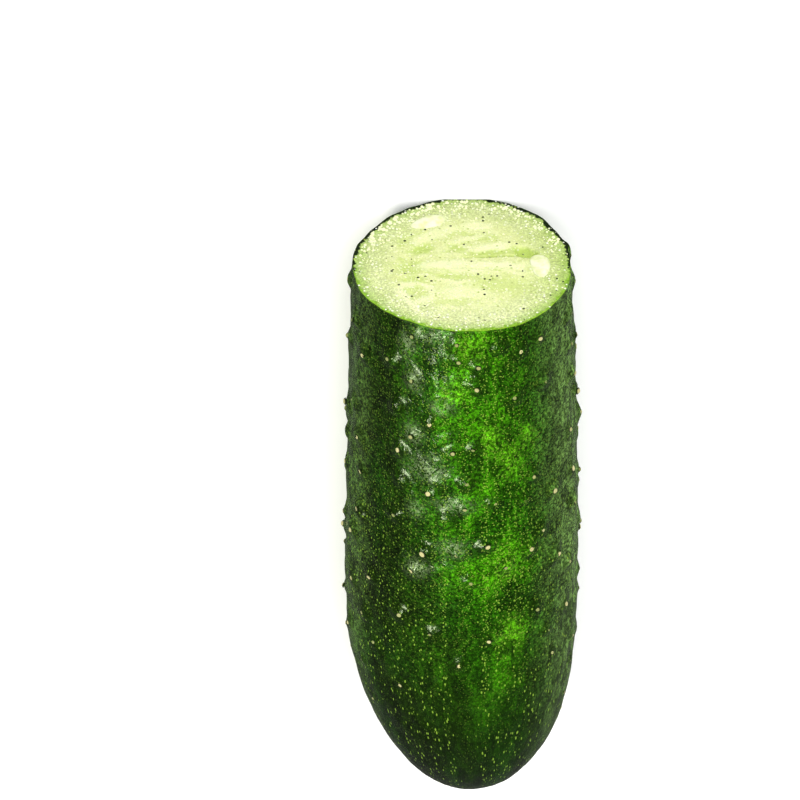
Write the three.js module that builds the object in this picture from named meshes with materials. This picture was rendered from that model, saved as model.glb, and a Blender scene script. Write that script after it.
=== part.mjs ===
// Half of a ridge cucumber, cut straight across and lying on its side. Millimetres, +Z up.
// The long axis runs along Y: the cut face looks towards -Y and the blossom end towards +Y.
// The origin is on the surface it lies on, under the middle of the piece.
// The fruit grew as one piece, so it is one solid: skin, flesh and seeds are finishes on it.

import * as THREE from "three";

// Overall form
const LENGTH = 129; // from the cut face to the rim of the blossom scar
const CUT_RADIUS = 20.9; // mean radius of the cut face
const BELLY_RADIUS = 23; // mean radius where the fruit is thickest
const BELLY_FROM_CUT = 80; // where that is, from the cut face
const NOSE_FULLNESS = 2.13; // 2 gives an elliptical blossom end, more a blunter one

// Departures from a round, straight fruit
const LOBES = 3; // one for each carpel inside
const LOBE_HEIGHT = 0.4; // how far a lobe stands out at the cut
const LOBE_TURN = THREE.MathUtils.degToRad(-38); // where the first lobe lies, from +Z towards +X
const SIDE_BOW = 0.4; // how far the middle bows towards -X
const TIP_SKEW = 2; // how far the blossom tip leans towards -X

// Blossom scar at the tip
const SCAR_RADIUS = 3;
const SCAR_DEPTH = 0.6;

// Flat strip that the weight presses on to the surface
const REST_STRIP_WIDTH = 10; // at the belly, to the nearest facet

// Facets
const SEGMENTS = 56; // around the fruit
const CUT_RINGS = 3; // across the cut face
const FLANK_RINGS = 16; // from the cut face to the belly
const NOSE_RINGS = 18; // from the belly to the scar

// Distance along the nose, from 0 at the belly to 1 where it would close to a point,
// at which its radius has fallen to this share of the belly's.
const noseStation = (share) => (1 - share ** 2) ** (1 / NOSE_FULLNESS);
const SCAR_STATION = noseStation(SCAR_RADIUS / BELLY_RADIUS);
const NOSE_LENGTH = (LENGTH - BELLY_FROM_CUT) / SCAR_STATION;

// How deep a circle of the belly's radius has to sink for its chord to be that wide.
const REST_SINK = BELLY_RADIUS - Math.sqrt(BELLY_RADIUS ** 2 - (REST_STRIP_WIDTH / 2) ** 2);

// Mean radius of the skin at a distance from the cut face.
function skinRadius(fromCut) {
  if (fromCut <= BELLY_FROM_CUT) {
    const swell = Math.sin((Math.PI / 2) * (fromCut / BELLY_FROM_CUT));
    return CUT_RADIUS + (BELLY_RADIUS - CUT_RADIUS) * swell;
  }
  const t = (fromCut - BELLY_FROM_CUT) / NOSE_LENGTH;
  return BELLY_RADIUS * Math.sqrt(Math.max(0, 1 - t ** NOSE_FULLNESS));
}

// The half section, from the middle of the cut face round to the middle of the scar.
function halfSection() {
  const points = [];
  for (let i = 0; i < CUT_RINGS; i++) {
    points.push(new THREE.Vector2((CUT_RADIUS * i) / CUT_RINGS, 0));
  }
  for (let i = 0; i <= FLANK_RINGS; i++) {
    const fromCut = (BELLY_FROM_CUT * i) / FLANK_RINGS;
    points.push(new THREE.Vector2(skinRadius(fromCut), fromCut));
  }
  const lastTurn = Math.asin(SCAR_STATION);
  for (let i = 1; i <= NOSE_RINGS; i++) {
    const t = Math.sin((lastTurn * i) / NOSE_RINGS); // rings crowd together towards the tip
    const fromCut = BELLY_FROM_CUT + NOSE_LENGTH * t;
    points.push(new THREE.Vector2(skinRadius(fromCut), fromCut));
  }
  points.push(new THREE.Vector2(0, LENGTH - SCAR_DEPTH));
  return points;
}

// From 0 at the belly to 1 at the tip.
const alongNose = (fromCut) => THREE.MathUtils.smoothstep(fromCut, BELLY_FROM_CUT, LENGTH);

// Stands out at each carpel, and dies away towards the blossom end.
function lobe(turn, fromCut) {
  return LOBE_HEIGHT * (1 - alongNose(fromCut)) * Math.cos(LOBES * (turn - LOBE_TURN));
}

// Sideways place of the fruit's centre line.
function centreLineX(fromCut) {
  const bow = SIDE_BOW * Math.sin((Math.PI * fromCut) / LENGTH);
  return -bow - TIP_SKEW * alongNose(fromCut);
}

// Height of the centre line: the underside lies flat from the cut face to the belly.
function centreLineZ(fromCut) {
  const nearest = Math.min(fromCut, BELLY_FROM_CUT);
  const downwards = Math.PI;
  return skinRadius(nearest) + lobe(downwards, nearest) - REST_SINK;
}

function cucumberHalf() {
  const halfSegment = Math.PI / SEGMENTS; // a facet, and not an edge, faces down
  const geometry = new THREE.LatheGeometry(halfSection(), SEGMENTS, halfSegment);
  const position = geometry.getAttribute("position");
  for (let i = 0; i < position.count; i++) {
    const x = position.getX(i);
    const fromCut = position.getY(i);
    const z = position.getZ(i);
    const radius = Math.hypot(x, z);
    const turn = Math.atan2(x, z);
    const onSkin = Math.min(1, radius / CUT_RADIUS); // less than 1 inside the cut face and the scar
    const grown = radius + onSkin * lobe(turn, fromCut);
    position.setXYZ(
      i,
      grown * Math.sin(turn) + centreLineX(fromCut),
      fromCut - LENGTH / 2,
      Math.max(0, grown * Math.cos(turn) + centreLineZ(fromCut)),
    );
  }
  geometry.computeVertexNormals();
  const skin = new THREE.MeshStandardMaterial({ color: 0x2c5a14, roughness: 0.4, metalness: 0 });
  const mesh = new THREE.Mesh(geometry, skin);
  mesh.name = "cucumber_half";
  return mesh;
}

// Puts the origin under the middle of the mesh's box.
function standOnOrigin(mesh) {
  const box = new THREE.Box3().setFromObject(mesh);
  const middle = box.getCenter(new THREE.Vector3());
  mesh.position.set(-middle.x, -middle.y, -box.min.z);
  return mesh;
}

const cucumber = new THREE.Group();
cucumber.add(standOnOrigin(cucumberHalf()));

export default cucumber;
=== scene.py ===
"""Half of a ridge cucumber on a pale floor: its fruit, seeds, spine stubs and drops of juice."""

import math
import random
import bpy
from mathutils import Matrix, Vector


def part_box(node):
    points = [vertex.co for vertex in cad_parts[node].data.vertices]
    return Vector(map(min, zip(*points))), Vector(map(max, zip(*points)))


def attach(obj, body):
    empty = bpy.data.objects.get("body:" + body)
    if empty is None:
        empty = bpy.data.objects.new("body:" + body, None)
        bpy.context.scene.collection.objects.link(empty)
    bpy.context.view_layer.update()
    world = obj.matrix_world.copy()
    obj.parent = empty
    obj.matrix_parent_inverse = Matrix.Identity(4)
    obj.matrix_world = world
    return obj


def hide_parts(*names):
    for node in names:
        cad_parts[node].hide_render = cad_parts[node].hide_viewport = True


bl_info = {
    "name": "Cut Cucumber Half",
    "version": (1, 0, 0),
    "blender": (4, 5, 0),
    "location": "3D View > Sidebar > Cucumber",
    "description": "Builds the fruit with its cut face, warts and juice, and the stage around it",
    "category": "Add Mesh",
}

import bpy
from bpy.props import FloatProperty, FloatVectorProperty, IntProperty, PointerProperty
from mathutils import Matrix, Vector, noise

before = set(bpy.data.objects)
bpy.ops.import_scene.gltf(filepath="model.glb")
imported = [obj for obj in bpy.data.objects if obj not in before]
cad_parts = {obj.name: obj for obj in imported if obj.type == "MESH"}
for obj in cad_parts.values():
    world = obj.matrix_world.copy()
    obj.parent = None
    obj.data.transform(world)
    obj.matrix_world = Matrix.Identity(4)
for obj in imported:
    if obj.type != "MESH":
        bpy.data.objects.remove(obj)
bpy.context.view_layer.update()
LOW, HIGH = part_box("cucumber_half")

MM = 0.001
UP = Vector((0, 0, 1))


# ---------------------------------------------------------------- settings


def length(name, description, default):
    return FloatProperty(
        name=name, description=description, default=default, unit="LENGTH", precision=4, min=0
    )


def angle(name, description, degrees):
    turn = math.radians(degrees)
    return FloatProperty(name=name, description=description, default=turn, subtype="ANGLE")


def colour(name, description, default):
    return FloatVectorProperty(
        name=name, description=description, default=default, subtype="COLOR", size=3, min=0, max=1
    )


class FruitShape(bpy.types.PropertyGroup):
    """The smooth fruit, as the frame has it."""

    cut_radius: length("Cut radius", "Mean radius of the cut face", 20.9 * MM)
    belly_radius: length("Belly radius", "Mean radius where the fruit is thickest", 23 * MM)
    belly_from_cut: length("Belly from cut", "Distance from the cut face to the belly", 80 * MM)
    nose_fullness: FloatProperty(
        name="Nose fullness",
        description="2 gives an elliptical blossom end, more a blunter one",
        default=2.13,
    )
    lobe_height: length("Lobe height", "How far each of the three lobes stands out", 0.4 * MM)
    lobe_turn: angle("Lobe turn", "Where the first lobe lies, from the top towards +X", -38)
    side_bow: length("Side bow", "How far the middle bows towards -X", 0.4 * MM)
    tip_skew: length("Tip skew", "How far the blossom tip leans towards -X", 2 * MM)
    scar_radius: length("Scar radius", "Radius of the blossom scar", 3 * MM)
    scar_depth: length("Scar depth", "Depth of the blossom scar", 0.6 * MM)
    rest_strip: length("Resting strip", "Width of the flat strip on the underside", 10 * MM)


class SkinLook(bpy.types.PropertyGroup):
    """Warts and colours of the skin."""

    wart_height: length("Wart height", "Height of a full-grown wart", 0.8 * MM)
    wart_radius: length("Wart radius", "Radius of a full-grown wart's mound", 2.7 * MM)
    wart_spacing: length("Wart spacing", "Least distance between scattered warts", 6.4 * MM)
    stub_radius: length("Stub radius", "Radius of a spine's stub", 0.42 * MM)
    deep_green: colour("Deep green", "Darkest skin", (0.006, 0.018, 0.0005))
    leaf_green: colour("Leaf green", "Middle tone of the skin", (0.009, 0.05, 0.0006))
    # Bright green also serves as painted light in the band along the lit top of the fruit.
    bright_green: colour("Bright green", "Sunny side of the skin", (0.029, 0.142, 0.001))
    lime_green: colour("Lime green", "Lightest patches of the skin", (0.07, 0.25, 0.004))
    fleck_colour: colour("Flecks", "Pale flecks in the skin", (0.25, 0.42, 0.045))
    # Side green also stands in for painted sheen of the white surroundings on the flanks.
    side_green_and_sheen: colour("Side green", "Paler skin low on the flanks", (0.085, 0.16, 0.036))
    # The bloom colour also paints highlights on the warts' slopes that face the cut.
    bloom_colour: colour("Bloom", "Waxy bloom on the warts", (0.3, 0.42, 0.19))
    stub_colour: colour("Stubs", "Dry stubs of the spines", (0.6, 0.56, 0.27))
    dull_stub: colour("Dull stubs", "Small stubs that are still green", (0.22, 0.27, 0.08))


class CutLook(bpy.types.PropertyGroup):
    """Colours of the cut face, its seeds and the juice on it."""

    flesh_colour: colour("Flesh", "Firm outer flesh", (0.52, 0.605, 0.238))
    core_colour: colour("Core", "Flesh around the seeds", (0.655, 0.705, 0.31))
    pulp_colour: colour("Pulp", "Clear pulp of the seed cells", (0.46, 0.6, 0.12))
    pale_colour: colour("Membrane", "White walls and seed coats", (0.82, 0.85, 0.5))
    rim_colour: colour("Rim", "Green line just inside the skin", (0.23, 0.44, 0.02))
    seed_colour: colour("Seeds", "Soft unripe seeds", (0.82, 0.86, 0.6))
    # The bead colour paints the white glints on the moisture beads.
    bead_glint_colour: colour("Moist beads", "Fine beads of moisture on the flesh", (0.98, 1.0, 0.85))
    olive_colour: colour("Olive", "Small olive pits in the flesh", (0.3, 0.4, 0.05))
    grit_colour: colour("Grit", "Specks of grit on the cut face", (0.02, 0.035, 0.005))
    juice_colour: colour("Juice", "Drops on the cut face", (0.75, 0.8, 0.5))
    juice_drops: IntProperty(
        name="Drops", description="How many drops of juice stand on the cut", default=1300, min=0
    )
    drop_radius: length("Drop radius", "Radius of a common drop", 0.19 * MM)


class StageLook(bpy.types.PropertyGroup):
    """Floor, light and camera."""

    floor_colour: colour("Floor", "Colour of the floor", (0.95, 0.95, 0.95))
    camera_tilt: angle("Camera tilt", "How steeply the camera looks down", 51.2)
    camera_distance: length("Camera distance", "From the camera to what it aims at", 1.2)
    camera_lens: FloatProperty(
        name="Lens", description="Focal length in millimetres", default=277.9, min=1
    )


# ---------------------------------------------------------------- shape of the fruit

SEGMENTS = 256  # around the fruit
CUT_RINGS = 96  # from the middle of the cut face to its rim
SKIN_RINGS = 256  # from the rim to the blossom scar
SCAR_RINGS = 8
RIM_BEVEL = 0.12 * MM


def ramp(value, start, end):
    """From 0 at start to 1 at end, with both ends eased."""
    t = min(1.0, max(0.0, (value - start) / (end - start)))
    return t * t * (3 - 2 * t)


def turns(count):
    """Evenly spaced turns, once round."""
    return [math.tau * j / count for j in range(count)]


class Fruit:
    """The smooth form of the fruit, in metres.

    A place on it is a turn from the top towards +X, and a distance from the cut.
    """

    def __init__(self, shape):
        self.shape = shape
        self.length = HIGH.y - LOW.y
        share = shape.scar_radius / shape.belly_radius
        station = (1 - share**2) ** (1 / shape.nose_fullness)
        self.nose = (self.length - shape.belly_from_cut) / station
        chord = shape.rest_strip / 2
        self.sink = shape.belly_radius - math.sqrt(shape.belly_radius**2 - chord**2)
        self.shift = (LOW.x + HIGH.x) / 2 - self.middle_x()

    def radius(self, from_cut):
        shape = self.shape
        if from_cut <= shape.belly_from_cut:
            swell = math.sin(math.pi / 2 * from_cut / shape.belly_from_cut)
            return shape.cut_radius + (shape.belly_radius - shape.cut_radius) * swell
        t = (from_cut - shape.belly_from_cut) / self.nose
        return shape.belly_radius * math.sqrt(max(0.0, 1 - t**shape.nose_fullness))

    def along_nose(self, from_cut):
        return ramp(from_cut, self.shape.belly_from_cut, self.length)

    def lobe(self, turn, from_cut):
        fade = 1 - self.along_nose(from_cut)
        return self.shape.lobe_height * fade * math.cos(3 * (turn - self.shape.lobe_turn))

    def centre_x(self, from_cut):
        bow = self.shape.side_bow * math.sin(math.pi * from_cut / self.length)
        return -bow - self.shape.tip_skew * self.along_nose(from_cut)

    def centre_z(self, from_cut):
        nearest = min(from_cut, self.shape.belly_from_cut)
        return self.radius(nearest) + self.lobe(math.pi, nearest) - self.sink

    def middle_x(self):
        """Middle of the smooth fruit's box across, before it is moved on to the frame's."""
        rows = 60
        across = [
            (self.radius(y) + self.lobe(turn, y)) * math.sin(turn) + self.centre_x(y)
            for y in (self.length * i / rows for i in range(rows))
            for turn in turns(90)
        ]
        return (min(across) + max(across)) / 2

    def place(self, turn, radius, from_cut, lift=0.0, lean=0.0):
        """A point in the frame. lift is measured outwards, and lean along the fruit."""
        on_skin = min(1.0, radius / self.shape.cut_radius)
        grown = radius + on_skin * self.lobe(turn, from_cut) + lift
        x = grown * math.sin(turn) + self.centre_x(from_cut) + self.shift
        z = grown * math.cos(turn) + self.centre_z(from_cut)
        return Vector((x, LOW.y + from_cut + lean, max(0.0, z)))

    def slope(self, from_cut):
        """How fast the radius changes along the fruit."""
        step = 0.05 * MM
        inner = max(0.0, from_cut - step)
        outer = min(self.length, from_cut + step)
        return (self.radius(outer) - self.radius(inner)) / (outer - inner)

    def outward(self, turn, from_cut):
        """Normal of the smooth skin."""
        slope = self.slope(from_cut)
        return Vector((math.sin(turn), -slope, math.cos(turn))).normalized()

    def skin_rows(self, count):
        """(distance from the cut, radius, distance along the skin) of rows evenly spaced on it."""
        steps = 4000
        path = [(0.0, 0.0)]
        for i in range(1, steps + 1):
            from_cut = self.length * math.sin(math.pi / 2 * i / steps)
            before = path[-1]
            rise = self.radius(from_cut) - self.radius(before[0])
            path.append((from_cut, before[1] + math.hypot(from_cut - before[0], rise)))
        rows = []
        k = 0
        for i in range(count + 1):
            wanted = path[-1][1] * i / count
            while path[k + 1][1] < wanted and k < steps - 1:
                k += 1
            (y0, s0), (y1, s1) = path[k], path[k + 1]
            from_cut = y0 + (y1 - y0) * min(1.0, (wanted - s0) / (s1 - s0))
            rows.append((from_cut, self.radius(from_cut), wanted))
        return rows


# ---------------------------------------------------------------- warts

# Warts on the upper side: turn from the top towards +X in degrees, and millimetres from the cut.
UPPER_WARTS = (
    (28, 3), (4, 3), (-19, 4), (-41, 5), (42, 10), (3, 7), (-7, 8), (-29, 6), (28, 13), (-6, 13),
    (-43, 15), (-25, 16), (13, 18), (37, 20), (18, 22), (28, 26), (-4, 27), (6, 28), (35, 30),
    (-35, 36), (34, 37), (-1, 35), (18, 38), (61, 41), (0, 41), (-15, 40), (-30, 41), (-48, 42),
    (10, 44), (37, 46), (-67, 50), (-40, 50), (-11, 50), (-33, 53), (21, 53), (4, 52), (-20, 56),
    (27, 58), (-3, 59), (-50, 58), (53, 65), (-37, 69), (33, 70), (17, 73), (-12, 74), (-44, 76),
    (2, 80), (50, 81), (-48, 83), (34, 89),
)
UPPER_TURN = math.radians(58)  # no scattered warts above this turn
LOWER_TURN = math.radians(148)  # and none below this one, where the fruit lies
NOSE_BARE = 0.78  # share of the length past which hardly any warts grow
WART_SEED = 7
WART_TRIES = 1600  # places tried for the scattered warts


class Wart:
    """One wart: where it stands, how big its mound is, and how its stub leans."""

    def __init__(self, turn, from_cut, size, dice):
        self.turn = turn
        self.from_cut = from_cut
        self.size = size
        self.tone = dice.random()
        self.spin = dice.uniform(0, math.tau)
        self.tilt = dice.uniform(0, 0.5)
        self.stretch = dice.uniform(0.85, 1.25)


def wart_size(fruit, from_cut, dice):
    """Full-grown from the cut to the belly, and smaller towards the blossom end."""
    fade = 1 - 0.75 * ramp(from_cut, 0.45 * fruit.length, 0.8 * fruit.length)
    return fade * dice.uniform(0.65, 1.15)


def warts_of(fruit, spacing):
    dice = random.Random(WART_SEED)
    warts = []
    for degrees, from_cut in UPPER_WARTS:
        y = from_cut * MM
        warts.append(Wart(math.radians(degrees), y, wart_size(fruit, y, dice), dice))
    for _ in range(WART_TRIES):
        turn = dice.uniform(-LOWER_TURN, LOWER_TURN)
        y = dice.uniform(2 * MM, fruit.length * 0.97)
        upper = abs(turn) < UPPER_TURN
        bare = y > NOSE_BARE * fruit.length and dice.random() < 0.93
        if not upper and not bare and clear_of(fruit, warts, turn, y, spacing):
            warts.append(Wart(turn, y, wart_size(fruit, y, dice), dice))
    return warts


def clear_of(fruit, warts, turn, from_cut, spacing):
    """Whether every wart is at least the spacing away from a place."""
    radius = fruit.radius(from_cut)
    for wart in warts:
        apart = math.remainder(turn - wart.turn, math.tau) * radius
        if math.hypot(apart, from_cut - wart.from_cut) < spacing:
            return False
    return True


def mound(distance):
    """Height of a mound, from 1 at its top to 0 at a distance of 1."""
    return (1 - min(1.0, max(0.0, distance)) ** 2) ** 2


GRAIN_RADIUS = 22  # radius of the cylinder that the skin's pattern is wrapped round, in mm


def grain_point(turn, along):
    """Where a place lies in the skin's pattern, in millimetres."""
    return Vector((GRAIN_RADIUS * math.cos(turn), GRAIN_RADIUS * math.sin(turn), along))


def mounds_on(fruit, rows, warts, wart_radius):
    """Share of a full-grown wart's height at each (row, segment) that a mound reaches."""
    heights = {}
    row_gap = rows[1][2] - rows[0][2]
    for wart in warts:
        reach = wart_radius * (0.55 + 0.5 * wart.size)
        widest = 1.3 * reach  # as far as a bent outline can reach
        middle = min(range(len(rows)), key=lambda i: abs(rows[i][0] - wart.from_cut))
        row_reach = int(widest / row_gap) + 1
        for i in range(max(0, middle - row_reach), min(len(rows), middle + row_reach + 1)):
            radius, arc = rows[i][1:]
            if radius < 2 * MM:
                continue
            across = int(widest / radius / math.tau * SEGMENTS) + 1
            start = round(wart.turn / math.tau * SEGMENTS)
            for j in range(start - across, start + across + 1):
                turn = math.tau * j / SEGMENTS
                apart = (turn - wart.turn) * radius
                along = (arc - rows[middle][2]) / wart.stretch
                bend = 0.35 * noise.noise(grain_point(turn, arc / MM) * 0.35)
                height = wart.size * mound(math.hypot(apart, along) / reach + bend)
                key = (i, j % SEGMENTS)
                heights[key] = max(heights.get(key, 0.0), height)
    return heights


# ---------------------------------------------------------------- skin relief

RIB_COUNT = 10
PATCH_RADIUS = 22  # radius of the skin where the patches below lie, in mm

# Patches on the upper side: turn in degrees, millimetres from the cut, half width, half length.
LIME_PATCHES = (
    (-2, 4, 3.6, 4.2), (-13, 25, 1.7, 3.0), (-22, 30, 2.4, 3.6), (-33, 27, 1.5, 3.0),
    (6, 14, 2.4, 3.0), (-20, 56, 2.0, 4.0), (-23, 74, 2.8, 4.0),
)
# Waxy bloom that also paints highlights where the light catches the warts.
BLOOM_HIGHLIGHT_PATCHES = (
    (19, 2, 3.2, 1.6), (31, 5, 1.6, 2.4), (27, 13, 1.5, 2.0), (12, 17.5, 2.0, 1.5),
    (27, 25.5, 1.7, 2.2), (20, 33, 3.4, 2.4), (25, 43, 1.5, 1.6), (6, 40.5, 3.2, 1.6),
    (6, 51, 2.5, 1.8), (24, 57, 2.1, 2.0),
)


def bell(value, middle, spread):
    """1 at the middle, easing out to 0 on both sides of it."""
    return math.exp(-(((value - middle) / spread) ** 2))


def patched(patches, turn, from_cut):
    """Share of a patchy finish at a place: full in the middle of each patch."""
    share = 0.0
    for degrees, middle, half_width, half_length in patches:
        aside = bell(turn * PATCH_RADIUS, math.radians(degrees) * PATCH_RADIUS, half_width)
        share = max(share, aside * bell(from_cut / MM, middle, half_length))
    return share


def coarse(turn, from_cut):
    """Share of coarse, crinkled skin: most on one shoulder, from the cut to the belly."""
    middle, spread = 22, 26  # degrees
    shoulder = bell(math.degrees(turn), middle, spread)
    return shoulder * (1 - ramp(from_cut, 55 * MM, 72 * MM))


def sunny(turn, from_cut):
    """Share of bright green, partly the sunnier side's own colour and partly painted light: a band
    that winds towards -X and fades past the belly.
    """
    middle, spread = 3 - 0.23 * from_cut / MM, 27  # degrees
    band = bell(math.degrees(turn), middle, spread)
    return band * (1 - 0.85 * ramp(from_cut, 68 * MM, 104 * MM))


def flank_and_sheen(turn):
    """Share of the paler, greyer green of the flanks, partly their own paler skin and partly
    painted sheen, which reaches higher on the -X side.
    """
    if turn < 0:
        return ramp(-turn, 0.52, 1.3)
    shoulder = ramp(turn, 0.85, 1.2)
    low = ramp(turn, 1.4, 2.1)
    return 0.45 * shoulder + 0.35 * low


def skin_waves(turn, arc, fade):
    """Ribs along the fruit and shallow lumps between the warts, in metres."""
    around = Vector((math.cos(turn), math.sin(turn), 0))
    wander = noise.noise(around * 1.3 + UP * (arc / MM * 0.02))
    ribs = 0.1 * math.cos(RIB_COUNT * turn + 3.5 * wander)
    point = grain_point(turn, arc / MM)
    lumps = 0.26 * noise.noise(point * 0.13) + 0.24 * noise.noise(point * 0.3)
    grain = 0.05 * noise.noise(point * 0.8)
    return (fade * (ribs + lumps) + grain) * MM


# ---------------------------------------------------------------- cut face


class Patch:
    """An oval mark on the cut face. across is +X and up is +Z from its middle, in millimetres."""

    def __init__(self, across, up, half_length, half_width, tilt=0, strength=1.0):
        self.across = across
        self.up = up
        self.half_length = half_length
        self.half_width = half_width
        self.cos = math.cos(math.radians(tilt))
        self.sin = math.sin(math.radians(tilt))
        self.strength = strength

    def reach(self, across, up):
        """0 in the middle of the oval, 1 at its edge."""
        dx = across - self.across
        dy = up - self.up
        along = dx * self.cos + dy * self.sin
        aside = dy * self.cos - dx * self.sin
        return math.hypot(along / self.half_length, aside / self.half_width)

    def fill(self, across, up, soft=0.5):
        """The mark's strength inside, easing out over its edge."""
        return self.strength * (1 - ramp(self.reach(across, up), 1 - soft, 1 + soft))

    def ring(self, across, up, width):
        """The mark's strength on its outline."""
        return self.strength * (1 - ramp(abs(self.reach(across, up) - 1), 0, width))


SEEDS = (
    Patch(6.8, -13.1, 3.6, 1.75, 24),
    Patch(-14.6, 0.7, 3.5, 2.0, 96),
)
SEED_SAC = Patch(-12.2, 0.3, 2.6, 2.0, 110)
SEED_END = Patch(9.1, 8.9, 3.3, 2.7, -20)
CAVITY = Patch(-12.0, -3.6, 2.7, 1.5, -25)
CLEFT = Patch(-6.6, -2.6, 5.4, 0.28, 5)
PALE_MARKS = [
    Patch(*mark)
    for mark in (
        (0.4, 8.9, 4.6, 1.6, -4, 0.55), (-2.4, -12.0, 2.9, 1.2, 4, 0.6),
        (-5.3, -5.4, 3.6, 1.1, 14, 0.75), (3.7, 0.2, 5.2, 1.3, 6, 0.8),
        (-6.4, 0.4, 6.4, 0.9, -3, 0.85), (-9.0, 2.4, 4.0, 0.5, -22, 0.5),
        (10.6, 11.0, 4.6, 0.8, 118, 0.9), (5.2, -9.4, 4.2, 1.3, 30, 0.5),
        (-1.0, -7.8, 3.4, 0.9, 20, 0.55), (1.6, 5.4, 3.6, 0.6, -8, 0.45),
        (-0.4, 1.9, 4.4, 0.45, -5, 0.5),
    )
]
PULP_MARKS = [
    Patch(*mark)
    for mark in (
        (9.9, 0.9, 2.8, 2.0, 20, 0.7), (8.0, -4.6, 2.5, 1.3, 30, 0.85),
        (1.3, -5.3, 2.0, 0.8, -40, 0.7), (2.2, 4.0, 3.2, 0.9, -6, 0.5),
        (-7.4, 6.4, 5.2, 2.4, -8, 0.5), (9.4, 4.9, 2.4, 1.6, 10, 0.6),
        (1.8, 11.6, 3.8, 1.1, 6, 0.4), (-5.6, -3.6, 5.0, 0.9, 6, 0.7),
        (11.2, -7.8, 2.0, 1.4, 60, 0.4), (-3.6, 4.4, 3.6, 0.7, -14, 0.4),
    )
]


def blurred(across, up):
    """The same point, moved a little so that the marks' edges wander."""
    moved = []
    for value, layer in ((across, 5.0), (up, 25.0)):
        wander = noise.noise(Vector((across, up, layer)) * 0.55)
        fine = noise.noise(Vector((across, up, layer)) * 1.7)
        moved.append(value + 0.7 * wander + 0.22 * fine)
    return moved


def cut_marks(across, up):
    """(pale, pulp, raised) at a point of the cut face: two colour shares, and a height in mm."""
    a, u = blurred(across, up)
    pale = max(mark.fill(a, u) for mark in PALE_MARKS)
    pulp = max(mark.fill(a, u) for mark in PULP_MARKS)
    hollow = CAVITY.fill(a, u, 0.35)
    cleft = CLEFT.fill(across + 0.3 * (a - across), up + 0.3 * (u - up), 0.9)
    cell = SEED_END.fill(a, u, 0.3)
    coat = 0.7 * SEED_END.ring(a, u, 0.45)
    sac_edge = SEED_SAC.ring(across, up, 0.2)
    beds = max(seed.fill(across, up, 0.25) for seed in SEEDS)
    pulp = max(pulp, hollow * 1.25, cleft, 0.4 * cell) * (1 - 0.8 * coat)
    pale = max(pale * (1 - hollow) * (1 - cleft), coat, 0.6 * sac_edge, 0.5 * beds)
    raised = 0.16 * pale - 0.2 * pulp - 0.35 * hollow - 0.3 * cleft
    raised += 0.25 * SEED_SAC.fill(across, up, 0.6)
    return pale, pulp, raised


def cut_relief(across, up, raised):
    """How far the cut face stands out at a point, in metres, with the roughness of torn flesh."""
    dull = noise.noise(Vector((across * 0.22, up * 0.22, 2.0)))
    grit = noise.noise(Vector((across * 1.9, up * 1.9, 4.0)))
    fine = noise.noise(Vector((across * 4.1, up * 4.1, 6.0)))
    return (raised + 0.1 * dull + 0.045 * grit + 0.03 * fine) * MM


# ---------------------------------------------------------------- meshes


class Build:
    """Gathers points, faces and point values for one mesh."""

    def __init__(self):
        self.points = []
        self.faces = []
        self.finish = []
        self.values = {}

    def point(self, position, **values):
        self.points.append(position)
        for name, value in values.items():
            self.values.setdefault(name, []).append(value)
        return len(self.points) - 1

    def face(self, corners, finish=0):
        self.faces.append(corners)
        self.finish.append(finish)

    def bridge(self, rings, finish=0):
        """Faces between rings that follow each other and have the same number of points."""
        for ring, following in zip(rings, rings[1:]):
            for j in range(len(ring)):
                k = (j + 1) % len(ring)
                self.face((ring[j], ring[k], following[k], following[j]), finish)

    def fan(self, ring, middle, finish=0):
        for j in range(len(ring)):
            self.face((ring[j], ring[(j + 1) % len(ring)], middle), finish)

    def done(self, name, materials):
        mesh = bpy.data.meshes.new(name)
        mesh.from_pydata(self.points, [], self.faces)
        for key, values in self.values.items():
            store(mesh, key, values)
        mesh.polygons.foreach_set("material_index", self.finish)
        for material in materials:
            mesh.materials.append(material)
        mesh.shade_smooth()
        mesh.update()
        piece = bpy.data.objects.new(name, mesh)
        bpy.context.scene.collection.objects.link(piece)
        return piece


def store(mesh, name, values):
    """Keeps one number or one vector for each point, for the materials to read."""
    if isinstance(values[0], Vector):
        layer = mesh.attributes.new(name, "FLOAT_VECTOR", "POINT")
        layer.data.foreach_set("vector", [part for value in values for part in value])
    else:
        layer = mesh.attributes.new(name, "FLOAT", "POINT")
        layer.data.foreach_set("value", values)


def drawn_out(fruit, rows):
    """Distance along the skin for the pattern, which is drawn out towards the blossom end."""
    stretched = [0.0]
    for before, row in zip(rows, rows[1:]):
        share = 1 - 0.5 * ramp(row[0], 0.5 * fruit.length, 0.85 * fruit.length)
        stretched.append(stretched[-1] + share * (row[2] - before[2]) / MM)
    return stretched


SKIN, FLESH = 0, 1
FRUIT_VALUES = (
    "wart", "along", "pale", "pulp", "depth", "bloom", "lime", "sunny", "coarse", "side",
)


def fruit_point(build, spot, grain, **shares):
    """A point of the fruit, with the values that its finishes read. Those not given are 0."""
    values = {name: shares.get(name, 0.0) for name in FRUIT_VALUES}
    return build.point(spot, grain=grain, **values)


def cut_face_rings(fruit, build, rim):
    """The cut face, from its middle vertex to the ring just inside the skin. rim has its lifts."""
    radius = fruit.shape.cut_radius - RIM_BEVEL
    centre = fruit.place(0, 0, 0)
    rings = []
    for i in range(CUT_RINGS + 1):
        share = i / CUT_RINGS
        ring = []
        for j in range(SEGMENTS if i else 1):
            turn = math.tau * j / SEGMENTS
            spot = fruit.place(turn, radius * share, 0, rim[j] * ramp(share, 0.8, 1))
            across = (spot.x - centre.x) / MM
            up = (spot.z - centre.z) / MM
            pale, pulp, raised = cut_marks(across, up)
            spot.y -= ramp(share, 1, 0.93) * cut_relief(across, up, raised)
            grain = grain_point(turn, -share * radius / MM)
            depth = (1 - share) * radius / MM
            ring.append(fruit_point(build, spot, grain, pale=pale, pulp=pulp, depth=depth))
        rings.append(ring)
    return rings


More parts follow.
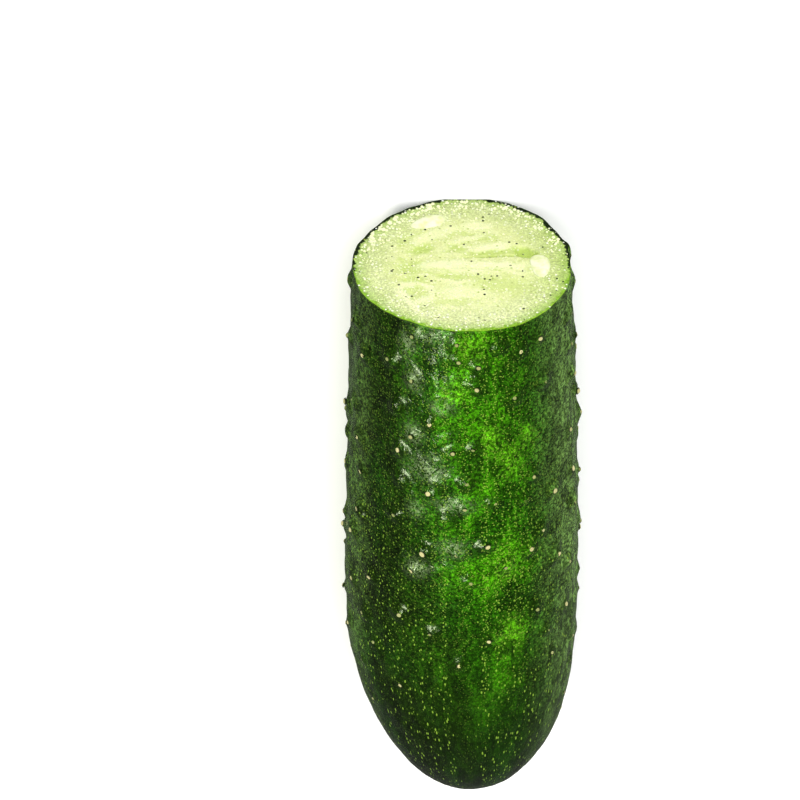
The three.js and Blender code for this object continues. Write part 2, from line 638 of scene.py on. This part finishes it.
def skin_ring(fruit, build, row, index, drawn, mounds, wart_height):
    """One ring of the skin, with its warts, ribs and lumps."""
    from_cut, radius, arc = row
    slope = fruit.slope(from_cut)
    steep = math.hypot(1, slope)
    fade = 1 - 0.7 * ramp(from_cut, 0.55 * fruit.length, 0.95 * fruit.length)
    ring = []
    for j in range(SEGMENTS):
        turn = math.remainder(math.tau * j / SEGMENTS, math.tau)
        wart = mounds.get((index, j), 0.0)
        lift = wart_height * wart + skin_waves(turn, arc, fade)
        spot = fruit.place(turn, radius, from_cut, lift / steep, -slope * lift / steep)
        ring.append(
            fruit_point(
                build,
                spot,
                grain_point(turn, drawn),
                wart=wart,
                along=from_cut / fruit.length,
                bloom=patched(BLOOM_HIGHLIGHT_PATCHES, turn, from_cut),
                lime=patched(LIME_PATCHES, turn, from_cut),
                sunny=sunny(turn, from_cut),
                coarse=coarse(turn, from_cut),
                side=flank_and_sheen(turn),
            )
        )
    return ring


def scar_rings(fruit, build, drawn):
    """The blossom scar: a shallow dimple with a torn, corky floor."""
    shape = fruit.shape
    rings = []
    for i in range(1, SCAR_RINGS + 1):
        share = 1 - i / SCAR_RINGS
        ring = []
        for j in range(SEGMENTS if share else 1):
            turn = math.tau * j / SEGMENTS
            torn = noise.noise(grain_point(turn, 3 * share) * Vector((0.12, 0.12, 1)))
            dip = shape.scar_depth * (1 - share**2) * (1 + 0.5 * torn * (1 - share))
            spot = fruit.place(turn, shape.scar_radius * share, fruit.length, 0, -dip)
            grain = grain_point(turn, drawn + 2 * (1 - share))
            ring.append(fruit_point(build, spot, grain, along=1 + 0.1 * (1 - share)))
        rings.append(ring)
    return rings


def fruit_mesh(fruit, warts, look, materials):
    build = Build()
    rows = fruit.skin_rows(SKIN_RINGS)
    drawn = drawn_out(fruit, rows)
    mounds = mounds_on(fruit, rows, warts, look.wart_radius)
    rim = [
        look.wart_height * mounds.get((0, j), 0.0) + skin_waves(math.tau * j / SEGMENTS, 0, 1)
        for j in range(SEGMENTS)
    ]
    cut = cut_face_rings(fruit, build, rim)
    skin = [
        skin_ring(fruit, build, row, i, drawn[i], mounds, look.wart_height)
        for i, row in enumerate(rows)
    ]
    scar = scar_rings(fruit, build, drawn[-1])
    build.fan(cut[1][::-1], cut[0][0], FLESH)
    build.bridge(cut[1:] + skin[:1], FLESH)
    build.bridge(skin + scar[:-1], SKIN)
    build.fan(scar[-2], scar[-1][0], SKIN)
    return build.done("cucumber_fruit", materials)


# (radius, height) of a stub, in its own radius: a flared foot, a blunt rim and a small dent.
STUB_PROFILE = (
    (1.4, -0.3), (1.2, 0.02), (0.95, 0.2), (0.84, 0.38), (0.66, 0.5), (0.4, 0.48), (0.2, 0.4),
)
STUB_DENT, STUB_BOTTOM = 0.38, -0.4  # heights of the middles of its two ends
STUB_SINK = 0.12 * MM
STUB_SIDES = 12


def stubs_mesh(fruit, warts, look, material):
    build = Build()
    for wart in warts:
        outward = fruit.outward(wart.turn, wart.from_cut)
        size = look.stub_radius * (0.5 + 0.5 * wart.size + 0.35 * wart.tone)
        lift = look.wart_height * wart.size - STUB_SINK
        foot = fruit.place(wart.turn, fruit.radius(wart.from_cut), wart.from_cut) + outward * lift
        side = outward.orthogonal().normalized()
        side.rotate(Matrix.Rotation(wart.spin, 3, outward))
        axis = (outward + side * wart.tilt).normalized()
        other = axis.cross(side).normalized()
        side = other.cross(axis)
        rings = []
        for radius, height in STUB_PROFILE:
            ring = []
            for turn in turns(STUB_SIDES):
                around = Vector((math.cos(turn), math.sin(turn), height))
                rough = 1 + 0.16 * noise.noise(foot / MM + around)
                arm = side * math.cos(turn) * wart.stretch + other * math.sin(turn)
                spot = foot + (arm * radius * rough + axis * height) * size
                ring.append(build.point(spot, tone=wart.tone, height=height))
            rings.append(ring)
        build.bridge(rings)
        for ring, height in ((rings[-1], STUB_DENT), (rings[0][::-1], STUB_BOTTOM)):
            spot = foot + axis * height * size
            build.fan(ring, build.point(spot, tone=wart.tone, height=height))
    return build.done("spine_stubs", [material])


SEED_ROWS = 24
SEED_SIDES = 28


def seeds_mesh(fruit, material):
    """Soft seeds that the knife laid bare: pointed at one end, and half sunk in the flesh."""
    build = Build()
    centre = fruit.place(0, 0, 0)
    for seed in SEEDS:
        rings = []
        for i in range(1, SEED_ROWS):
            lean = math.pi * i / SEED_ROWS
            along = -math.cos(lean)
            pointed = 1 - 0.22 * along
            ring = []
            for turn in turns(SEED_SIDES):
                aside = math.sin(lean) * math.cos(turn) * pointed
                out = math.sin(lean) * math.sin(turn)
                ring.append(build.point(seed_point(seed, centre, along, aside, out)))
            rings.append(ring)
        build.bridge(rings)
        for ring, end in ((rings[0][::-1], -1), (rings[-1], 1)):
            build.fan(ring, build.point(seed_point(seed, centre, end, 0, 0)))
    return build.done("seeds", [material])


def seed_point(seed, centre, along, aside, out):
    """A point of a seed, from its place in a ball of radius 1. More of it sinks than shows."""
    a = along * seed.half_length
    b = aside * seed.half_width
    across = seed.across + a * seed.cos - b * seed.sin
    up = seed.up + a * seed.sin + b * seed.cos
    proud = (0.62 if out > 0 else 1.1) * out
    ripple = 0.05 * noise.noise(Vector((across, up, 1.0)) * 1.2)
    return centre + Vector((across, -proud - ripple, up)) * MM


DROP_SEED = 11
DROP_ROWS = 4
DROP_SIDES = 9


def drop_sites(fruit, look):
    """(across, up, radius) of each drop, in metres. They crowd on the +X side and the low rim."""
    dice = random.Random(DROP_SEED)
    reach = fruit.shape.cut_radius / MM - 0.5
    sites = []
    while len(sites) < look.juice_drops:
        turn = dice.uniform(0, math.tau)
        distance = reach * math.sqrt(dice.random())
        across = distance * math.sin(turn)
        up = distance * math.cos(turn)
        rim = ramp(distance, 0.8 * reach, reach) * ramp(-up, -2, 12)
        crowd = 0.3 + 0.35 * ramp(across, -8, 14) + 0.8 * rim
        if dice.random() > crowd:
            continue
        side = ramp(across, -4, 10)
        size = look.drop_radius * (0.45 + 0.9 * dice.random() ** 2) * (1 + rim + 0.7 * rim * side)
        if distance * MM + size < fruit.shape.cut_radius - 0.6 * MM:
            sites.append((across * MM, up * MM, size))
    return sites


def drops_mesh(fruit, look, material):
    build = Build()
    centre = fruit.place(0, 0, 0)
    for across, up, radius in drop_sites(fruit, look):
        raised = cut_marks(across / MM, up / MM)[2]
        stand = cut_relief(across / MM, up / MM, raised)
        middle = centre + Vector((across, -stand + 0.25 * radius, up))
        rings = []
        for i in range(DROP_ROWS):
            lean = math.pi / 2 * (1.15 - 0.3 * i)
            ring = []
            for turn in turns(DROP_SIDES):
                arm = Vector((math.cos(turn), 0, math.sin(turn))) * math.sin(lean)
                ring.append(build.point(middle + (arm - Vector((0, math.cos(lean), 0))) * radius))
            rings.append(ring)
        build.bridge(rings)
        build.fan(rings[-1], build.point(middle - Vector((0, radius, 0))))
        build.face(rings[0][::-1])
    return build.done("juice_drops", [material])


# ---------------------------------------------------------------- materials


class Finish:
    """A node material under construction, with the base colour that it has so far.

    An input takes a number, a colour or another node's output.
    """

    def __init__(self, name, base):
        self.material = bpy.data.materials.new(name)
        self.material.use_nodes = True
        self.nodes = self.material.node_tree.nodes
        self.links = self.material.node_tree.links
        self.base = base

    def feed(self, node, values):
        """Feeds a node's inputs. They are numbered, or named with _ for each space."""
        for name, value in values:
            socket = node.inputs[name if isinstance(name, int) else name.replace("_", " ")]
            if isinstance(value, bpy.types.NodeSocket):
                self.links.new(value, socket)
            elif socket.type == "RGBA" and len(value) == 3:
                socket.default_value = (*value, 1)
            else:
                socket.default_value = value

    def node(self, kind, *numbered, operation=None, **named):
        node = self.nodes.new("ShaderNode" + kind)
        if operation:
            node.operation = operation
        self.feed(node, (*enumerate(numbered), *named.items()))
        return node

    def done(self, **values):
        """The material, with its shader's inputs fed."""
        self.feed(self.nodes["Principled BSDF"], {"Base_Color": self.base, **values}.items())
        return self.material

    def value(self, name, output="Fac"):
        """A value that the mesh keeps for each point."""
        node = self.node("Attribute")
        node.attribute_name = name
        return node.outputs[output]

    def spot(self):
        """The place on the piece, in millimetres."""
        return self.scaled(self.node("TexCoord").outputs["Object"], (1 / MM, 1 / MM, 1 / MM))

    def math(self, operation, *values):
        return self.node("Math", *values, operation=operation).outputs[0]

    def times(self, first, second):
        return self.math("MULTIPLY", first, second)

    def scaled(self, vector, factors):
        return self.node("VectorMath", vector, factors, operation="MULTIPLY").outputs[0]

    def shaded(self, share):
        """The base colour, made darker or lighter by a share."""
        return self.node("VectorMath", self.base, operation="SCALE", Scale=share).outputs[0]

    def shade(self, share):
        self.base = self.shaded(share)

    def part(self, vector, axis):
        return self.node("SeparateXYZ", vector).outputs[axis]

    def span(self, value, start, end, low=0.0, high=1.0):
        """Eases value from low at start to high at end."""
        node = self.node("MapRange", value, start, end, low, high)
        node.interpolation_type = "SMOOTHSTEP"
        return node.outputs[0]

    def noise(self, vector, scale, detail=2.0, rough=0.5, distortion=0.0):
        node = self.node("TexNoise", Vector=vector, Scale=scale, Detail=detail)
        self.feed(node, (("Roughness", rough), ("Distortion", distortion)))
        return node.outputs["Fac"]

    def coat(self, share, colour):
        """Lays a share of a colour over the base colour."""
        node = self.node("Mix", share)
        node.data_type = "RGBA"
        self.feed(node, ((6, self.base), (7, colour)))
        self.base = node.outputs[2]

    def flecks(self, vector, scale, keep, size, soft=0.06):
        """Dots in a share of the cells. size is the radius of the biggest, measured in cells."""
        cells = self.node("TexVoronoi", Vector=vector, Scale=scale)
        dice = self.node("SeparateColor", cells.outputs["Color"]).outputs[0]
        kept = self.span(dice, 1 - keep, 1 - keep + 0.02)
        radius = self.math("MULTIPLY_ADD", dice, 0.5 * size, 0.5 * size)
        inside = self.math("SUBTRACT", radius, cells.outputs["Distance"])
        return self.times(kept, self.span(inside, 0.0, soft))

    def bump(self, height, distance, **below):
        return self.node("Bump", Height=height, Distance=distance, **below).outputs[0]


def skin_finish(look, cut):
    """Waxy green skin: cloudy greens, a finely mottled surface and pale flecks."""
    finish = Finish("cucumber_skin", look.deep_green)
    grain = finish.value("grain", "Vector")
    along = finish.value("along")
    wart = finish.value("wart")
    clouds = finish.noise(finish.scaled(grain, (1, 1, 0.5)), 0.09, 3, 0.55, 0.4)
    dapple = finish.noise(finish.scaled(grain, (1, 1, 0.7)), 0.4, 3, 0.6, 0.8)
    blotch = finish.noise(finish.scaled(grain, (1, 1, 0.5)), 0.2, 2, 0.4)
    mottle = finish.noise(grain, 1.7, 4, 0.85)
    # Cloudy greens, a bright band that is partly painted light, lime patches, and flanks with
    # painted sheen
    sun = finish.value("sunny")
    # Painted light: the bright band along the lit top of the fruit, partly the sunnier side's own
    # colour.
    light = finish.times(sun, finish.span(clouds, 0.15, 0.55))
    finish.coat(finish.span(clouds, 0.38, 0.66, 0.0, 0.6), look.leaf_green)
    finish.coat(light, look.leaf_green)
    finish.coat(finish.times(light, finish.span(blotch, 0.4, 0.66)), look.bright_green)
    lime = finish.times(finish.value("lime"), finish.span(dapple, 0.3, 0.6, 0.1, 0.75))
    finish.coat(lime, look.lime_green)
    # Paler, greyer flanks: partly their own paler skin, partly painted sheen, broken up by the
    # dapple.
    pale_and_sheen_dapple = finish.span(dapple, 0.35, 0.62, 0.6, 1.0)
    finish.coat(finish.times(finish.value("side"), pale_and_sheen_dapple), look.side_green_and_sheen)
    # Painted shade on the +X side, fine mottling and dappling, painted shade towards the blossom
    # end and round the feet of the warts
    # Painted shade: the +X side, away from the light, is made darker.
    finish.shade(finish.span(finish.part(grain, "Y"), 0, 20, 1.0, 0.85))
    mottled = finish.shaded(finish.span(mottle, 0.42, 0.68, 0.35, 3.1))
    finish.coat(finish.span(along, 0.45, 0.85, 1.0, 0.4), mottled)
    finish.shade(finish.span(dapple, 0.32, 0.68, 0.58, 1.42))
    # Painted shade: darker towards the blossom end.
    finish.shade(finish.span(along, 0.6, 1.0, 1.0, 0.5))
    # Painted shade in a ring round the foot of each wart's mound.
    foot = finish.times(finish.span(wart, 0.02, 0.2), finish.span(wart, 0.8, 0.35, 0, 0.45))
    finish.coat(foot, look.deep_green)
    # Flecks: fine ones on the body, and bold ones towards the blossom end
    fine = finish.flecks(grain, 2.3, 0.5, 0.42, 0.12)
    gap = finish.span(along, 0.35, 0.7, 0.85, 0.3)
    gap = finish.times(gap, finish.span(sun, 0.0, 0.9, 0.3, 0.8))
    finish.coat(finish.times(fine, gap), look.fleck_colour)
    bold = finish.flecks(finish.scaled(grain, (1, 1, 0.6)), 1.7, 0.5, 0.34, 0.14)
    spread = finish.span(along, 0.15, 0.55, 0.1, 0.75)
    finish.coat(finish.times(bold, spread), look.fleck_colour)
    # Waxy bloom with painted highlights, the green line at the cut, and the corky scar
    streaks = finish.noise(grain, 1.5, 4, 0.6, 1.6)
    # Partly real waxy bloom, partly painted highlights on the warts.
    waxy_highlight = finish.times(finish.value("bloom"), finish.span(streaks, 0.44, 0.62))
    finish.coat(finish.times(waxy_highlight, 0.65), look.bloom_colour)
    finish.coat(finish.span(along, 0.0016, 0.0, 0.0, 0.8), cut.rim_colour)
    finish.coat(finish.span(along, 1.0, 1.04, 0.0, 0.7), look.stub_colour)
    # Relief and gloss
    crinkle = finish.noise(grain, 1.1, 2, 0.45, 1.2)
    folds = finish.noise(finish.scaled(grain, (1, 1, 0.7)), 0.5, 2, 0.5, 0.6)
    rough = finish.span(finish.value("coarse"), 0.0, 1.0, 0.25, 0.35)
    rough = finish.math("ADD", rough, finish.times(wart, 0.45))
    shine = finish.span(mottle, 0.3, 0.7, 0.15, 0.25)
    normal = finish.bump(finish.times(folds, rough), 0.5 * MM)
    normal = finish.bump(finish.times(crinkle, rough), 0.17 * MM, Normal=normal)
    return finish.done(
        Roughness=finish.math("MAXIMUM", shine, finish.span(along, 0.006, 0.001, 0.0, 0.7)),
        Normal=normal,
        Specular_IOR_Level=0.35,
        Specular_Tint=(0.85, 1.0, 0.72),
        Sheen_Weight=0.02,
        Sheen_Roughness=0.3,
        Sheen_Tint=(0.9, 1.0, 0.8),
    )


def flesh_finish(look, skin):
    """Wet cut flesh: a green line at the skin, firm pale flesh, and clear pulp round the seeds."""
    finish = Finish("cucumber_flesh", look.flesh_colour)
    spot = finish.spot()
    fibre = finish.scaled(finish.value("grain", "Vector"), (1, 1, 0.1))
    depth = finish.value("depth")
    threads = finish.noise(fibre, 0.9, 3, 0.6)
    cloud = finish.noise(spot, 0.28, 3, 0.6)
    edge = finish.math("ADD", depth, finish.span(threads, 0.3, 0.7, -0.35, 0.35))
    height = finish.part(spot, "Z")
    under = finish.span(height, 32, 12)
    # Flesh, with the marks of the walls and the seed cells
    finish.coat(finish.span(edge, 4.0, 9.0), look.core_colour)
    finish.coat(finish.span(cloud, 0.35, 0.7, 0.0, 0.4), look.pale_colour)
    finish.coat(finish.span(threads, 0.55, 0.75, 0.0, 0.22), look.pulp_colour)
    veins = finish.noise(finish.scaled(spot, (0.5, 1, 1.1)), 0.55, 4, 0.65, 0.8)
    veins = finish.times(finish.span(veins, 0.5, 0.68, 0.0, 0.55), finish.span(depth, 4, 8))
    finish.coat(veins, look.pulp_colour)
    finish.coat(finish.value("pulp"), look.pulp_colour)
    finish.coat(finish.value("pale"), look.pale_colour)
    finish.coat(finish.span(finish.part(spot, "X"), -8, -19, 0.0, 0.35), look.pulp_colour)
    # Painted light: paler towards the top of the fruit.
    finish.coat(finish.span(height, 26, 42, 0.0, 0.4), look.pale_colour)
    # Green towards the skin, which shows dark at the underside
    finish.coat(finish.span(edge, 3.2, 0.6, 0.0, 0.5), look.rim_colour)
    finish.coat(finish.span(edge, 0.6, 0.2), look.rim_colour)
    peel = finish.math("ADD", edge, finish.span(under, 0.0, 1.0, 0.4, -0.6))
    finish.coat(finish.span(peel, 0.15, -0.1), skin.deep_green)
    # Grains, painted shade towards the underside, beads of moisture with painted glints, olive
    # pits and grit
    grains = finish.noise(spot, 2.2, 3, 0.75)
    outer = finish.span(depth, 9.0, 2.0, 0.3, 1.0)
    finish.coat(outer, finish.shaded(finish.span(grains, 0.35, 0.65, 0.66, 1.22)))
    # Painted shade: a little darker towards the underside.
    finish.shade(finish.span(under, 0.0, 1.0, 1.02, 0.97))
    # Beads of moisture: real bump and gloss, with their glints painted white.
    wet_glint = finish.times(finish.flecks(spot, 1.25, 0.5, 0.36, 0.08), outer)
    finish.coat(finish.times(wet_glint, 0.9), look.bead_glint_colour)
    olive = finish.flecks(spot, 1.1, 0.16, 0.3, 0.08)
    finish.coat(finish.times(olive, 0.7), look.olive_colour)
    crowd = finish.span(finish.noise(spot, 0.12, 1, 0.5), 0.38, 0.48)
    grit = finish.times(finish.flecks(spot, 0.8, 0.24, 0.23, 0.03), crowd)
    finish.coat(grit, look.grit_colour)
    normal = finish.bump(grains, 0.1 * MM)
    matt = finish.span(depth, 0.4, 0.05, 0.0, 0.7)
    return finish.done(
        Roughness=finish.math("MAXIMUM", finish.span(wet_glint, 0.0, 1.0, 0.34, 0.12), matt),
        Normal=finish.bump(wet_glint, 0.08 * MM, Normal=normal),
        Specular_IOR_Level=0.5,
        Subsurface_Weight=0.25,
        Subsurface_Radius=(1.0, 1.0, 0.4),
        Subsurface_Scale=1.5 * MM,
    )


def seed_finish(look):
    """Soft white seed with a faint green vein pattern."""
    finish = Finish("cucumber_seed", look.seed_colour)
    cloud = finish.noise(finish.spot(), 0.6, 3, 0.6)
    finish.coat(finish.span(cloud, 0.35, 0.75), look.core_colour)
    return finish.done(
        Roughness=0.28,
        Subsurface_Weight=0.3,
        Subsurface_Radius=(1.0, 1.0, 0.5),
        Subsurface_Scale=1.0 * MM,
    )


def stub_finish(look):
    """Dry stub of a spine: cream to tan, with a darker green foot, partly the skin it grows from
    and partly painted shadow.
    """
    finish = Finish("spine_stub", look.stub_colour)
    dry_tan = (0.32, 0.27, 0.1)
    rough = finish.noise(finish.spot(), 3.0, 2, 0.6)
    finish.coat(finish.span(finish.value("tone"), 0.85, 0.1), look.dull_stub)
    finish.coat(finish.span(rough, 0.4, 0.7, 0.0, 0.5), dry_tan)
    # Darker foot: partly the green skin, partly painted shadow round the stub.
    finish.coat(finish.span(finish.value("height"), 0.4, 0.05), look.deep_green)
    return finish.done(Roughness=finish.span(rough, 0.3, 0.7, 0.45, 0.7))


def juice_finish(look):
    """Small clear drop that looks like the flesh under it, with a sharp glint."""
    finish = Finish("cucumber_juice", look.juice_colour)
    cloud = finish.noise(finish.spot(), 0.8)
    finish.coat(finish.span(cloud, 0.35, 0.65), look.pale_colour)
    return finish.done(Roughness=0.06, IOR=1.34)


def floor_finish(look):
    """Matt pale floor with a barely visible grain, which gives off a little light of its own."""
    finish = Finish("pale_floor", look.floor_colour)
    grain = finish.noise(finish.spot(), 0.06)
    finish.coat(finish.span(grain, 0.3, 0.7, 0.0, 0.03), (0.85, 0.85, 0.85))
    return finish.done(
        Roughness=0.9,
        Emission_Color=(1, 1, 1),
        Emission_Strength=0.1,
        Specular_IOR_Level=0.1,
    )


# ---------------------------------------------------------------- stage


FLOOR_SIDES = 96
FLOOR_FLAT, FLOOR_BEND = 2, 0.8  # radii of the flat middle and of the curve round it, in metres

WINDOW_PLACE = Vector((0.25, 0.07, 0.5))
WINDOW_SIZE = 0.13
WINDOW_POWER = 1.8
WINDOW_TINT = (1, 1, 0.87)
SUN_DIRECTION = Vector((0.27, 0.62, -1))
SUN_POWER = 3.7
SUN_WIDTH = math.radians(55)
SKY_STRENGTH = 0.08


def floor_piece(look):
    """A wide round floor, level with the underside of the fruit, that curves up at its edge."""
    build = Build()
    bend = [
        (FLOOR_FLAT + FLOOR_BEND * math.sin(climb), FLOOR_BEND - FLOOR_BEND * math.cos(climb))
        for climb in (0, 0.3, 0.6, 0.9, 1.2)
    ]
    rings = [
        [
            build.point(Vector((radius * math.sin(turn), radius * math.cos(turn), height)))
            for turn in turns(FLOOR_SIDES)
        ]
        for radius, height in ((FLOOR_FLAT / 4, 0), *bend)
    ]
    build.fan(rings[0][::-1], build.point(Vector((0, 0, 0))))
    build.bridge(rings)
    return build.done("floor", [floor_finish(look)])


def hang(name, light, direction):
    """Puts a light in the scene, shining in a direction."""
    lamp = bpy.data.objects.new(name, light)
    lamp.rotation_euler = direction.to_track_quat("-Z", "Y").to_euler()
    bpy.context.scene.collection.objects.link(lamp)
    return lamp


def soft_lights():
    """A soft sun from the cut's side, a small window overhead, and a pale sky."""
    window = bpy.data.lights.new("window", "AREA")
    window.size = WINDOW_SIZE
    window.energy = WINDOW_POWER
    window.color = WINDOW_TINT
    lamp = hang("window", window, (LOW + HIGH) / 2 - WINDOW_PLACE)
    lamp.location = WINDOW_PLACE
    lamp.visible_camera = False
    sun = bpy.data.lights.new("sun", "SUN")
    sun.energy = SUN_POWER
    sun.angle = SUN_WIDTH
    hang("sun", sun, SUN_DIRECTION).visible_glossy = False
    world = bpy.data.worlds.new("pale_sky")
    world.use_nodes = True
    sky = world.node_tree.nodes["Background"]
    sky.inputs["Color"].default_value = (1, 1, 1, 1)
    sky.inputs["Strength"].default_value = SKY_STRENGTH
    bpy.context.scene.world = world


CAMERA_AIM = Vector((12.15, -32.3, 22)) * MM


def camera(look):
    """Looks down on the fruit from its cut end, turned so that the cut is uppermost."""
    tilt = look.camera_tilt
    back = Vector((0, -math.cos(tilt), math.sin(tilt)))
    right = Vector((-1, 0, 0))
    top = back.cross(right)
    data = bpy.data.cameras.new("camera")
    data.lens = look.camera_lens
    data.clip_start = 0.01
    data.dof.use_dof = False
    lens = bpy.data.objects.new("camera", data)
    turn = Matrix((right, top, back)).transposed().to_4x4()
    lens.matrix_world = Matrix.Translation(CAMERA_AIM + back * look.camera_distance) @ turn
    bpy.context.scene.collection.objects.link(lens)
    bpy.context.scene.camera = lens


# ---------------------------------------------------------------- operators


def grown(context):
    """The smooth fruit and its warts, from the scene's settings."""
    scene = context.scene
    fruit = Fruit(scene.fruit_shape)
    return fruit, warts_of(fruit, scene.skin_look.wart_spacing)


class GrowFruit(bpy.types.Operator):
    """Builds the fruit: its skin with warts and blossom scar, and its cut face"""

    bl_idname = "cucumber.grow_fruit"
    bl_label = "Grow fruit"

    def execute(self, context):
        scene = context.scene
        fruit, warts = grown(context)
        skin, cut = scene.skin_look, scene.cut_look
        piece = fruit_mesh(fruit, warts, skin, [skin_finish(skin, cut), flesh_finish(cut, skin)])
        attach(piece, "root")
        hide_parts("cucumber_half")
        return {"FINISHED"}


class AddStubs(bpy.types.Operator):
    """Sets a dry stub of a spine on every wart"""

    bl_idname = "cucumber.add_stubs"
    bl_label = "Add spine stubs"

    def execute(self, context):
        fruit, warts = grown(context)
        look = context.scene.skin_look
        piece = stubs_mesh(fruit, warts, look, stub_finish(look))
        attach(piece, "root")
        return {"FINISHED"}


class AddSeeds(bpy.types.Operator):
    """Lays the bared seeds in the cut face"""

    bl_idname = "cucumber.add_seeds"
    bl_label = "Add seeds"

    def execute(self, context):
        fruit = Fruit(context.scene.fruit_shape)
        piece = seeds_mesh(fruit, seed_finish(context.scene.cut_look))
        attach(piece, "root")
        return {"FINISHED"}


class AddJuice(bpy.types.Operator):
    """Scatters drops of juice over the cut face"""

    bl_idname = "cucumber.add_juice"
    bl_label = "Add juice"

    def execute(self, context):
        fruit = Fruit(context.scene.fruit_shape)
        look = context.scene.cut_look
        piece = drops_mesh(fruit, look, juice_finish(look))
        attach(piece, "root")
        return {"FINISHED"}


class SetStage(bpy.types.Operator):
    """Adds the floor, the lights and the camera"""

    bl_idname = "cucumber.set_stage"
    bl_label = "Set stage"

    def execute(self, context):
        look = context.scene.stage_look
        floor = floor_piece(look)
        floor.visible_glossy = False
        soft_lights()
        camera(look)
        context.scene.view_settings.view_transform = "Standard"
        return {"FINISHED"}


STEPS = (SetStage, GrowFruit, AddStubs, AddSeeds, AddJuice)
GROUPS = (
    ("fruit_shape", FruitShape),
    ("skin_look", SkinLook),
    ("cut_look", CutLook),
    ("stage_look", StageLook),
)


class CucumberPanel(bpy.types.Panel):
    """Lists the settings and the steps of the build"""

    bl_idname = "VIEW3D_PT_cucumber"
    bl_label = "Cut Cucumber Half"
    bl_space_type = "VIEW_3D"
    bl_region_type = "UI"
    bl_category = "Cucumber"

    def draw(self, context):
        for name, group in GROUPS:
            box = self.layout.box()
            for field in group.__annotations__:
                box.prop(getattr(context.scene, name), field)
        for step in STEPS:
            self.layout.operator(step.bl_idname)


def register():
    for group in GROUPS:
        bpy.utils.register_class(group[1])
        setattr(bpy.types.Scene, group[0], PointerProperty(type=group[1]))
    for step in (*STEPS, CucumberPanel):
        bpy.utils.register_class(step)


def unregister():
    for step in (CucumberPanel, *reversed(STEPS)):
        bpy.utils.unregister_class(step)
    for name, group in reversed(GROUPS):
        delattr(bpy.types.Scene, name)
        bpy.utils.unregister_class(group)


def main():
    register()
    for step in STEPS:
        area, name = step.bl_idname.split(".")
        getattr(getattr(bpy.ops, area), name)()


if __name__ == "__main__":
    main()
